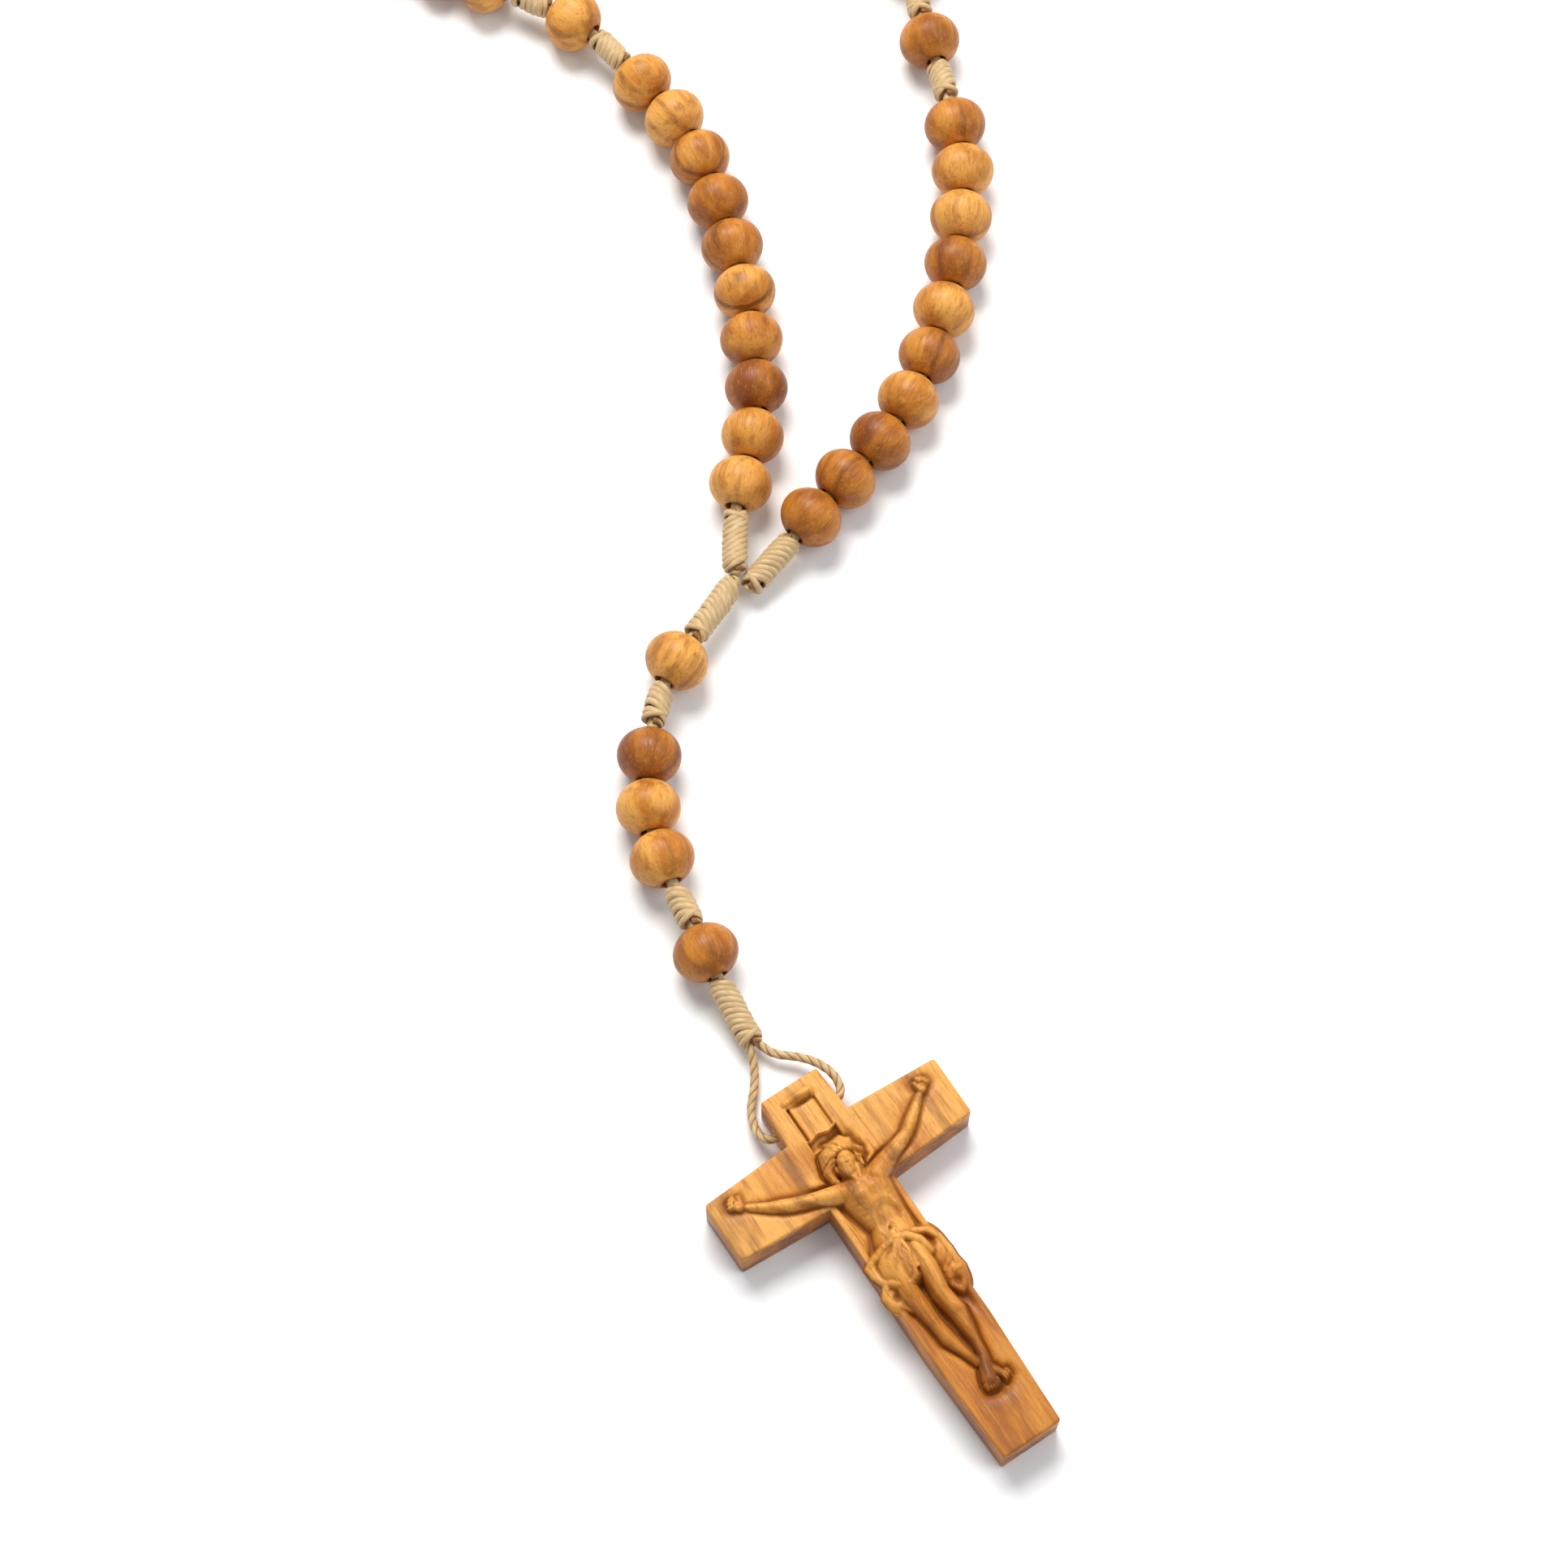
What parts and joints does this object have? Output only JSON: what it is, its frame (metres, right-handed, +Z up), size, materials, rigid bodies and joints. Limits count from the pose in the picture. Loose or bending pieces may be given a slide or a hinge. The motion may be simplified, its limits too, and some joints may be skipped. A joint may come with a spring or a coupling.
{
  "type": "rosary",
  "caption": "Corded wooden rosary: turned beads and wound barrel knots on a waxed cord, with a carved wooden crucifix on a cord loop, laid flat.",
  "frame": {"origin": "on the crucifix's flat back, where the centre lines of its two arms cross", "axes": "+Z up from the surface the rosary lies on, out of the crucifix's front; +Y from the crucifix towards the ring of beads; +X to the right, seen from above"},
  "size_m": [0.1162, 0.287, 0.0088],
  "materials": {
    "bead_wood": "satin, oiled",
    "crucifix_wood": "satin, hand sanded",
    "cord": "waxed twisted cord"
  },
  "bodies": {
    "pendant_upper": {"cord_pendant_upper": "cord"},
    "turn_our_father_upper": {"bead_our_father_upper": "bead_wood"},
    "pendant_trio": {"cord_pendant_trio": "cord"},
    "turn_hail_mary_pendant_01": {"bead_hail_mary_pendant_01": "bead_wood"},
    "turn_hail_mary_pendant_02": {"bead_hail_mary_pendant_02": "bead_wood"},
    "turn_hail_mary_pendant_03": {"bead_hail_mary_pendant_03": "bead_wood"},
    "pendant_lower": {"cord_pendant_lower": "cord"},
    "turn_our_father_lower": {"bead_our_father_lower": "bead_wood"},
    "loop": {"crucifix_loop": "cord"},
    "crucifix": {"crucifix": "crucifix_wood"},
    "left_strand": {"cord_left": "cord"},
    "turn_hail_mary_left_01": {"bead_hail_mary_left_01": "bead_wood"},
    "turn_hail_mary_left_02": {"bead_hail_mary_left_02": "bead_wood"},
    "turn_hail_mary_left_03": {"bead_hail_mary_left_03": "bead_wood"},
    "turn_hail_mary_left_04": {"bead_hail_mary_left_04": "bead_wood"},
    "turn_hail_mary_left_05": {"bead_hail_mary_left_05": "bead_wood"},
    "turn_hail_mary_left_06": {"bead_hail_mary_left_06": "bead_wood"},
    "turn_hail_mary_left_07": {"bead_hail_mary_left_07": "bead_wood"},
    "turn_hail_mary_left_08": {"bead_hail_mary_left_08": "bead_wood"},
    "turn_hail_mary_left_09": {"bead_hail_mary_left_09": "bead_wood"},
    "turn_hail_mary_left_10": {"bead_hail_mary_left_10": "bead_wood"},
    "turn_our_father_left": {"bead_our_father_left": "bead_wood"},
    "far_left": {"cord_far_left": "cord", "beads_hail_mary_far": "bead_wood", "cord_far_middle": "cord"},
    "turn_hail_mary_far_left_01": {"bead_hail_mary_far_left_01": "bead_wood"},
    "turn_hail_mary_far_left_02": {"bead_hail_mary_far_left_02": "bead_wood"},
    "turn_hail_mary_far_left_03": {"bead_hail_mary_far_left_03": "bead_wood"},
    "turn_hail_mary_far_left_04": {"bead_hail_mary_far_left_04": "bead_wood"},
    "turn_hail_mary_far_left_05": {"bead_hail_mary_far_left_05": "bead_wood"},
    "turn_hail_mary_far_left_06": {"bead_hail_mary_far_left_06": "bead_wood"},
    "turn_hail_mary_far_left_07": {"bead_hail_mary_far_left_07": "bead_wood"},
    "turn_hail_mary_far_left_08": {"bead_hail_mary_far_left_08": "bead_wood"},
    "turn_hail_mary_far_left_09": {"bead_hail_mary_far_left_09": "bead_wood"},
    "turn_hail_mary_far_left_10": {"bead_hail_mary_far_left_10": "bead_wood"},
    "turn_our_father_far_left": {"bead_our_father_far_left": "bead_wood"},
    "turn_our_father_far_right": {"bead_our_father_far_right": "bead_wood"},
    "far_right": {"cord_far_right": "cord"},
    "turn_hail_mary_far_right_01": {"bead_hail_mary_far_right_01": "bead_wood"},
    "turn_hail_mary_far_right_02": {"bead_hail_mary_far_right_02": "bead_wood"},
    "turn_hail_mary_far_right_03": {"bead_hail_mary_far_right_03": "bead_wood"},
    "turn_hail_mary_far_right_04": {"bead_hail_mary_far_right_04": "bead_wood"},
    "turn_hail_mary_far_right_05": {"bead_hail_mary_far_right_05": "bead_wood"},
    "turn_hail_mary_far_right_06": {"bead_hail_mary_far_right_06": "bead_wood"},
    "turn_hail_mary_far_right_07": {"bead_hail_mary_far_right_07": "bead_wood"},
    "turn_hail_mary_far_right_08": {"bead_hail_mary_far_right_08": "bead_wood"},
    "turn_hail_mary_far_right_09": {"bead_hail_mary_far_right_09": "bead_wood"},
    "turn_hail_mary_far_right_10": {"bead_hail_mary_far_right_10": "bead_wood"},
    "turn_our_father_right": {"bead_our_father_right": "bead_wood"},
    "right_strand": {"cord_right": "cord"},
    "turn_hail_mary_right_10": {"bead_hail_mary_right_10": "bead_wood"},
    "turn_hail_mary_right_09": {"bead_hail_mary_right_09": "bead_wood"},
    "turn_hail_mary_right_08": {"bead_hail_mary_right_08": "bead_wood"},
    "turn_hail_mary_right_07": {"bead_hail_mary_right_07": "bead_wood"},
    "turn_hail_mary_right_06": {"bead_hail_mary_right_06": "bead_wood"},
    "turn_hail_mary_right_05": {"bead_hail_mary_right_05": "bead_wood"},
    "turn_hail_mary_right_04": {"bead_hail_mary_right_04": "bead_wood"},
    "turn_hail_mary_right_03": {"bead_hail_mary_right_03": "bead_wood"},
    "turn_hail_mary_right_02": {"bead_hail_mary_right_02": "bead_wood"},
    "turn_hail_mary_right_01": {"bead_hail_mary_right_01": "bead_wood"}
  },
  "joints": [
    {"name": "ring_open", "type": "hinge", "parent": "pendant_upper", "child": "left_strand", "pos_m": [-0.0123, 0.075, 0.0034], "axis": [0, 0, 1], "range_deg": [-3, 12]},
    {"name": "ring_right", "type": "hinge", "parent": "pendant_upper", "child": "right_strand", "pos_m": [-0.0123, 0.075, 0.0034], "axis": [0, 0, 1], "range_deg": [-12, 3]},
    {"name": "ring_far_left", "type": "hinge", "parent": "left_strand", "child": "far_left", "pos_m": [-0.04298, 0.16047, 0.00405], "axis": [0, 0, 1], "range_deg": [-24, 6]},
    {"name": "ring_far_right", "type": "hinge", "parent": "right_strand", "child": "far_right", "pos_m": [0.01527, 0.14337, 0.00405], "axis": [0, 0, 1], "range_deg": [-6, 24]},
    {"name": "pendant_flex_upper", "type": "hinge", "parent": "pendant_upper", "child": "pendant_trio", "pos_m": [-0.02258, 0.05476, 0.00405], "axis": [0, 0, 1], "range_deg": [-15, 15]},
    {"name": "pendant_flex_lower", "type": "hinge", "parent": "pendant_trio", "child": "pendant_lower", "pos_m": [-0.01987, 0.03483, 0.00403], "axis": [0, 0, 1], "range_deg": [-15, 15]},
    {"name": "loop_flex", "type": "hinge", "parent": "pendant_lower", "child": "loop", "pos_m": [-0.01, 0.015, 0.002], "axis": [0, 0, 1], "range_deg": [-20, 20]},
    {"name": "crucifix_swing", "type": "hinge", "parent": "loop", "child": "crucifix", "pos_m": [-0.00371, 0.00558, 0.003], "axis": [0.8324, 0.5541, 0], "range_deg": [-80, 80]},
    {"name": "spin_our_father_upper", "type": "hinge", "parent": "pendant_upper", "child": "turn_our_father_upper", "pos_m": [-0.01965, 0.06399, 0.00405], "axis": [-0.4684, -0.8834, 0.0138], "continuous": true},
    {"name": "spin_hail_mary_pendant_01", "type": "hinge", "parent": "pendant_trio", "child": "turn_hail_mary_pendant_01", "pos_m": [-0.02288, 0.05137, 0.00405], "axis": [-0.0631, -0.998, 0.0008], "continuous": true},
    {"name": "spin_hail_mary_pendant_02", "type": "hinge", "parent": "pendant_trio", "child": "turn_hail_mary_pendant_02", "pos_m": [-0.02291, 0.04456, 0.00405], "axis": [0.1162, -0.9932, 0.0013], "continuous": true},
    {"name": "spin_hail_mary_pendant_03", "type": "hinge", "parent": "pendant_trio", "child": "turn_hail_mary_pendant_03", "pos_m": [-0.02117, 0.03798, 0.00405], "axis": [0.354, -0.9352, -0.0055], "continuous": true},
    {"name": "spin_our_father_lower", "type": "hinge", "parent": "pendant_lower", "child": "turn_our_father_lower", "pos_m": [-0.01579, 0.026, 0.00408], "axis": [0.4278, -0.9013, -0.0678], "continuous": true},
    {"name": "spin_hail_mary_left_01", "type": "hinge", "parent": "left_strand", "child": "turn_hail_mary_left_01", "pos_m": [-0.01184, 0.08811, 0.00406], "axis": [0.1979, 0.9802, 0.0017], "continuous": true},
    {"name": "spin_hail_mary_left_02", "type": "hinge", "parent": "left_strand", "child": "turn_hail_mary_left_02", "pos_m": [-0.01038, 0.09484, 0.00405], "axis": [0.1627, 0.9867, -0.0009], "continuous": true},
    {"name": "spin_hail_mary_left_03", "type": "hinge", "parent": "left_strand", "child": "turn_hail_mary_left_03", "pos_m": [-0.00992, 0.10169, 0.00405], "axis": [-0.036, 0.9994, 0.0004], "continuous": true},
    {"name": "spin_hail_mary_left_04", "type": "hinge", "parent": "left_strand", "child": "turn_hail_mary_left_04", "pos_m": [-0.01056, 0.10854, 0.00405], "axis": [-0.1074, 0.9942, -0.0001], "continuous": true},
    {"name": "spin_hail_mary_left_05", "type": "hinge", "parent": "left_strand", "child": "turn_hail_mary_left_05", "pos_m": [-0.01145, 0.11535, 0.00405], "axis": [-0.1876, 0.9822, 0], "continuous": true},
    {"name": "spin_hail_mary_left_06", "type": "hinge", "parent": "left_strand", "child": "turn_hail_mary_left_06", "pos_m": [-0.01308, 0.12204, 0.00405], "axis": [-0.2645, 0.9644, 0], "continuous": true},
    {"name": "spin_hail_mary_left_07", "type": "hinge", "parent": "left_strand", "child": "turn_hail_mary_left_07", "pos_m": [-0.01501, 0.12864, 0.00405], "axis": [-0.2996, 0.9541, 0], "continuous": true},
    {"name": "spin_hail_mary_left_08", "type": "hinge", "parent": "left_strand", "child": "turn_hail_mary_left_08", "pos_m": [-0.01739, 0.13509, 0.00405], "axis": [-0.4075, 0.9132, 0], "continuous": true},
    {"name": "spin_hail_mary_left_09", "type": "hinge", "parent": "left_strand", "child": "turn_hail_mary_left_09", "pos_m": [-0.02077, 0.14107, 0.00405], "axis": [-0.5828, 0.8126, 0], "continuous": true},
    {"name": "spin_hail_mary_left_10", "type": "hinge", "parent": "left_strand", "child": "turn_hail_mary_left_10", "pos_m": [-0.02506, 0.14645, 0.00405], "axis": [-0.6353, 0.7723, 0], "continuous": true},
    {"name": "spin_our_father_left", "type": "hinge", "parent": "left_strand", "child": "turn_our_father_left", "pos_m": [-0.03431, 0.1559, 0.00405], "axis": [-0.8158, 0.5784, 0], "continuous": true},
    {"name": "spin_hail_mary_far_left_01", "type": "hinge", "parent": "far_left", "child": "turn_hail_mary_far_left_01", "pos_m": [-0.04611, 0.16189, 0.00405], "axis": [-0.91, 0.4145, 0], "continuous": true},
    {"name": "spin_hail_mary_far_left_02", "type": "hinge", "parent": "far_left", "child": "turn_hail_mary_far_left_02", "pos_m": [-0.05233, 0.16483, 0.00405], "axis": [-0.8959, 0.4443, 0], "continuous": true},
    {"name": "spin_hail_mary_far_left_03", "type": "hinge", "parent": "far_left", "child": "turn_hail_mary_far_left_03", "pos_m": [-0.05841, 0.16806, 0.00405], "axis": [-0.8669, 0.4985, 0], "continuous": true},
    {"name": "spin_hail_mary_far_left_04", "type": "hinge", "parent": "far_left", "child": "turn_hail_mary_far_left_04", "pos_m": [-0.06422, 0.17173, 0.00405], "axis": [-0.8209, 0.571, 0], "continuous": true},
    {"name": "spin_hail_mary_far_left_05", "type": "hinge", "parent": "far_left", "child": "turn_hail_mary_far_left_05", "pos_m": [-0.06967, 0.17593, 0.00405], "axis": [-0.7602, 0.6497, 0], "continuous": true},
    {"name": "spin_hail_mary_far_left_06", "type": "hinge", "parent": "far_left", "child": "turn_hail_mary_far_left_06", "pos_m": [-0.07464, 0.18068, 0.00405], "axis": [-0.6815, 0.7318, 0], "continuous": true},
    {"name": "spin_hail_mary_far_left_07", "type": "hinge", "parent": "far_left", "child": "turn_hail_mary_far_left_07", "pos_m": [-0.079, 0.186, 0.00405], "axis": [-0.5823, 0.813, 0], "continuous": true},
    {"name": "spin_hail_mary_far_left_08", "type": "hinge", "parent": "far_left", "child": "turn_hail_mary_far_left_08", "pos_m": [-0.08261, 0.19185, 0.00405], "axis": [-0.4646, 0.8855, 0], "continuous": true},
    {"name": "spin_hail_mary_far_left_09", "type": "hinge", "parent": "far_left", "child": "turn_hail_mary_far_left_09", "pos_m": [-0.08534, 0.19816, 0.00405], "axis": [-0.326, 0.9454, 0], "continuous": true},
    {"name": "spin_hail_mary_far_left_10", "type": "hinge", "parent": "far_left", "child": "turn_hail_mary_far_left_10", "pos_m": [-0.08703, 0.20482, 0.00405], "axis": [-0.16, 0.9871, 0], "continuous": true},
    {"name": "spin_our_father_far_left", "type": "hinge", "parent": "far_left", "child": "turn_our_father_far_left", "pos_m": [-0.08669, 0.21799, 0.00405], "axis": [0.2111, 0.9775, 0], "continuous": true},
    {"name": "spin_our_father_far_right", "type": "hinge", "parent": "far_left", "child": "turn_our_father_far_right", "pos_m": [-0.0179, 0.23147, 0.00405], "axis": [0.6784, -0.7347, 0], "continuous": true},
    {"name": "spin_hail_mary_far_right_01", "type": "hinge", "parent": "far_right", "child": "turn_hail_mary_far_right_01", "pos_m": [-0.00842, 0.22222, 0.00405], "axis": [0.7394, -0.6733, 0], "continuous": true},
    {"name": "spin_hail_mary_far_right_02", "type": "hinge", "parent": "far_right", "child": "turn_hail_mary_far_right_02", "pos_m": [-0.00345, 0.21747, 0.00405], "axis": [0.6939, -0.7201, 0], "continuous": true},
    {"name": "spin_hail_mary_far_right_03", "type": "hinge", "parent": "far_right", "child": "turn_hail_mary_far_right_03", "pos_m": [0.00096, 0.21219, 0.00405], "axis": [0.5765, -0.8171, 0], "continuous": true},
    {"name": "spin_hail_mary_far_right_04", "type": "hinge", "parent": "far_right", "child": "turn_hail_mary_far_right_04", "pos_m": [0.00448, 0.20629, 0.00405], "axis": [0.4476, -0.8942, 0], "continuous": true},
    {"name": "spin_hail_mary_far_right_05", "type": "hinge", "parent": "far_right", "child": "turn_hail_mary_far_right_05", "pos_m": [0.00715, 0.19995, 0.00405], "axis": [0.3308, -0.9437, 0], "continuous": true},
    {"name": "spin_hail_mary_far_right_06", "type": "hinge", "parent": "far_right", "child": "turn_hail_mary_far_right_06", "pos_m": [0.00904, 0.19334, 0.00405], "axis": [0.2176, -0.976, 0], "continuous": true},
    {"name": "spin_hail_mary_far_right_07", "type": "hinge", "parent": "far_right", "child": "turn_hail_mary_far_right_07", "pos_m": [0.01017, 0.18656, 0.00405], "axis": [0.1156, -0.9933, 0], "continuous": true},
    {"name": "spin_hail_mary_far_right_08", "type": "hinge", "parent": "far_right", "child": "turn_hail_mary_far_right_08", "pos_m": [0.01069, 0.1797, 0.00405], "axis": [0.0406, -0.9992, 0], "continuous": true},
    {"name": "spin_hail_mary_far_right_09", "type": "hinge", "parent": "far_right", "child": "turn_hail_mary_far_right_09", "pos_m": [0.0108, 0.17282, 0.00405], "axis": [-0.0018, -1, 0], "continuous": true},
    {"name": "spin_hail_mary_far_right_10", "type": "hinge", "parent": "far_right", "child": "turn_hail_mary_far_right_10", "pos_m": [0.0108, 0.16594, 0.00405], "axis": [0.0174, -0.9998, 0], "continuous": true},
    {"name": "spin_our_father_right", "type": "hinge", "parent": "far_right", "child": "turn_our_father_right", "pos_m": [0.01282, 0.15288, 0.00405], "axis": [0.2643, -0.9644, 0], "continuous": true},
    {"name": "spin_hail_mary_right_10", "type": "hinge", "parent": "right_strand", "child": "turn_hail_mary_right_10", "pos_m": [0.016, 0.14001, 0.00405], "axis": [0.1977, -0.9803, 0], "continuous": true},
    {"name": "spin_hail_mary_right_09", "type": "hinge", "parent": "right_strand", "child": "turn_hail_mary_right_09", "pos_m": [0.01689, 0.1332, 0.00405], "axis": [0.0305, -0.9995, 0], "continuous": true},
    {"name": "spin_hail_mary_right_08", "type": "hinge", "parent": "right_strand", "child": "turn_hail_mary_right_08", "pos_m": [0.01654, 0.12633, 0.00405], "axis": [-0.0983, -0.9952, 0], "continuous": true},
    {"name": "spin_hail_mary_right_07", "type": "hinge", "parent": "right_strand", "child": "turn_hail_mary_right_07", "pos_m": [0.01572, 0.1195, 0.00405], "axis": [-0.1631, -0.9866, 0], "continuous": true},
    {"name": "spin_hail_mary_right_06", "type": "hinge", "parent": "right_strand", "child": "turn_hail_mary_right_06", "pos_m": [0.01413, 0.11281, 0.00405], "axis": [-0.2702, -0.9628, 0.0001], "continuous": true},
    {"name": "spin_hail_mary_right_05", "type": "hinge", "parent": "right_strand", "child": "turn_hail_mary_right_05", "pos_m": [0.01216, 0.10622, 0.00405], "axis": [-0.3288, -0.9444, -0.0003], "continuous": true},
    {"name": "spin_hail_mary_right_04", "type": "hinge", "parent": "right_strand", "child": "turn_hail_mary_right_04", "pos_m": [0.0094, 0.09993, 0.00405], "axis": [-0.4691, -0.8831, 0.0009], "continuous": true},
    {"name": "spin_hail_mary_right_03", "type": "hinge", "parent": "right_strand", "child": "turn_hail_mary_right_03", "pos_m": [0.00574, 0.09411, 0.00405], "axis": [-0.5966, -0.8026, -0.0033], "continuous": true},
    {"name": "spin_hail_mary_right_02", "type": "hinge", "parent": "right_strand", "child": "turn_hail_mary_right_02", "pos_m": [0.00133, 0.08883, 0.00404], "axis": [-0.6508, -0.7592, 0.0129], "continuous": true},
    {"name": "spin_hail_mary_right_01", "type": "hinge", "parent": "right_strand", "child": "turn_hail_mary_right_01", "pos_m": [-0.003, 0.08349, 0.00409], "axis": [-0.6318, -0.7735, -0.0514], "continuous": true}
  ],
  "couplings": [
    {"joint": "ring_right", "follows": "ring_open", "ratio": -1},
    {"joint": "ring_far_left", "follows": "ring_open", "ratio": -2},
    {"joint": "ring_far_right", "follows": "ring_open", "ratio": 2}
  ]
}
